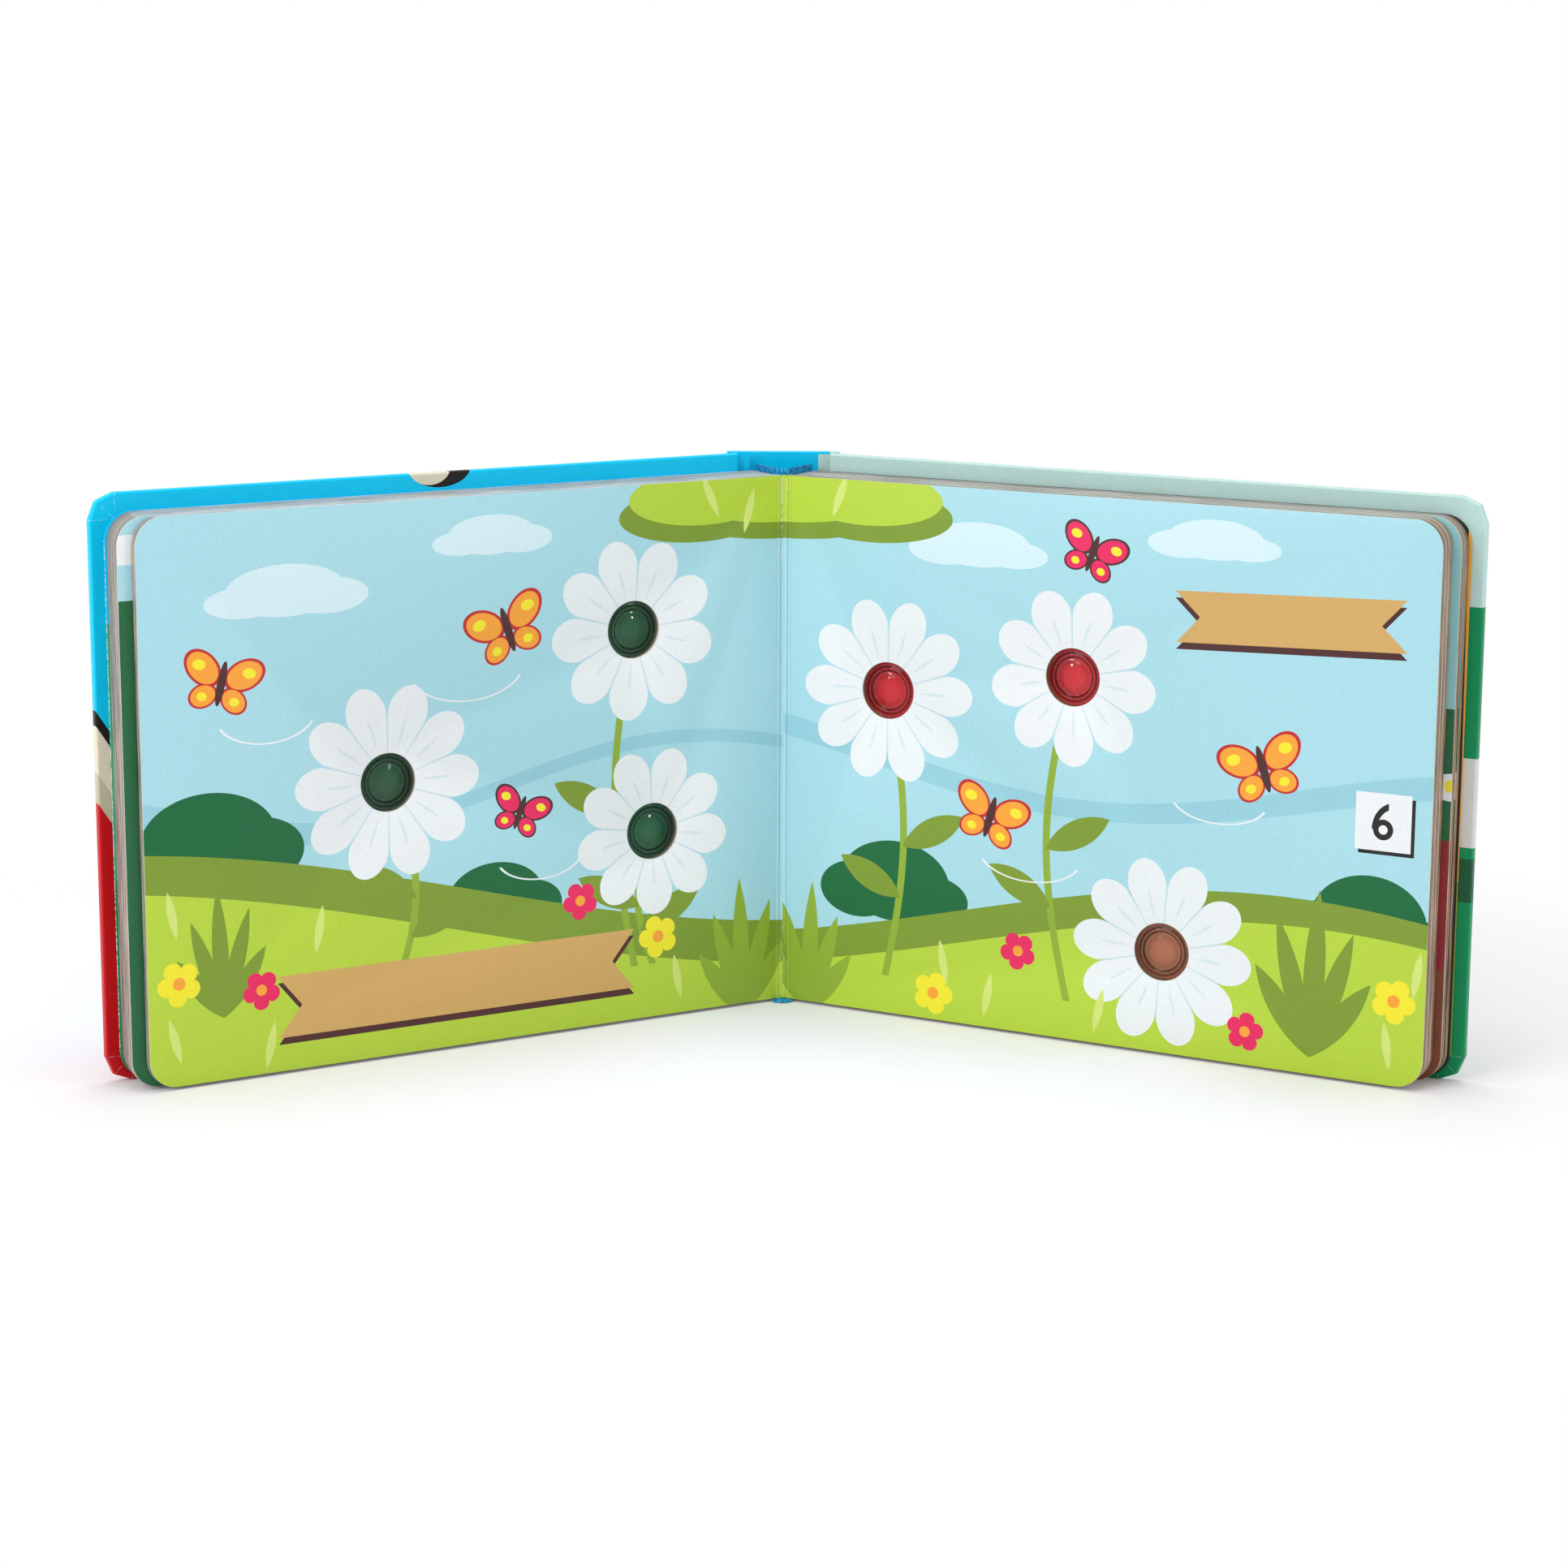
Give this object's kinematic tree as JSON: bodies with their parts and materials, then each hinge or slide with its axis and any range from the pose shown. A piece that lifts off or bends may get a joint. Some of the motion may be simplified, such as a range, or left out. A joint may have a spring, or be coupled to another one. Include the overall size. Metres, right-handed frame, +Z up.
{
  "type": "board book",
  "caption": "Thick board book standing open like a V on its lower edges, with rigid leaves, two hard covers, a hollow flat spine and clear round pop buttons set in the open pages.",
  "frame": {"origin": "under the middle of the book's bounding box as it stands open, on the table", "axes": "+Z up along the gutter, +X to the reader's right, +Y away from the reader towards the spine"},
  "size_m": [0.4698, 0.1476, 0.2032],
  "materials": {
    "blue_wrap": "satin laminated printed paper over grey board",
    "pale_green_wrap": "satin laminated printed paper over grey board",
    "printed_board": "satin coated printed board",
    "green_paste_down": "satin printed paper",
    "orange_paste_down": "satin printed paper",
    "lining_paper": "matte textured lining",
    "clear_film": "clear glossy vacuum-formed film"
  },
  "bodies": {
    "binding": {"centre_fold": "printed_board"},
    "back_half": {"back_cover": "pale_green_wrap", "back_paste_down": "orange_paste_down", "back_pages": "printed_board", "back_spine_lining": "lining_paper"},
    "front_half": {"front_cover": "blue_wrap", "front_paste_down": "green_paste_down", "front_pages": "printed_board", "front_spine_lining": "lining_paper"},
    "spine": {"spine": "blue_wrap"},
    "front_upper_button": {"front_upper_button": "clear_film"},
    "front_outer_button": {"front_outer_button": "clear_film"},
    "front_lower_button": {"front_lower_button": "clear_film"},
    "back_upper_button": {"back_upper_button": "clear_film"},
    "back_outer_button": {"back_outer_button": "clear_film"},
    "back_lower_button": {"back_lower_button": "clear_film"}
  },
  "joints": [
    {"name": "back_gutter", "type": "hinge", "parent": "binding", "child": "back_half", "pos_m": [0.0008, 0.05083, 0.1], "axis": [0, 0, -1], "range_deg": [-30, 60]},
    {"name": "front_gutter", "type": "hinge", "parent": "binding", "child": "front_half", "pos_m": [-0.0008, 0.05083, 0.1], "axis": [0, 0, 1], "range_deg": [-30, 60]},
    {"name": "spine_throw", "type": "slide", "parent": "binding", "child": "spine", "axis": [0, 1, 0], "range_m": [-0.0176, 0.0089]},
    {"name": "front_upper_press", "type": "slide", "parent": "front_half", "child": "front_upper_button", "axis": [-0.5, 0.866, 0], "range_m": [0, 0.0016]},
    {"name": "front_outer_press", "type": "slide", "parent": "front_half", "child": "front_outer_button", "axis": [-0.5, 0.866, 0], "range_m": [0, 0.0016]},
    {"name": "front_lower_press", "type": "slide", "parent": "front_half", "child": "front_lower_button", "axis": [-0.5, 0.866, 0], "range_m": [0, 0.0016]},
    {"name": "back_upper_press", "type": "slide", "parent": "back_half", "child": "back_upper_button", "axis": [0.5, 0.866, 0], "range_m": [0, 0.0016]},
    {"name": "back_outer_press", "type": "slide", "parent": "back_half", "child": "back_outer_button", "axis": [0.5, 0.866, 0], "range_m": [0, 0.0016]},
    {"name": "back_lower_press", "type": "slide", "parent": "back_half", "child": "back_lower_button", "axis": [0.5, 0.866, 0], "range_m": [0, 0.0016]}
  ],
  "couplings": [
    {"joint": "front_gutter", "follows": "back_gutter", "ratio": 1},
    {"joint": "spine_throw", "follows": "back_gutter", "m_per_rad": -0.01671}
  ]
}
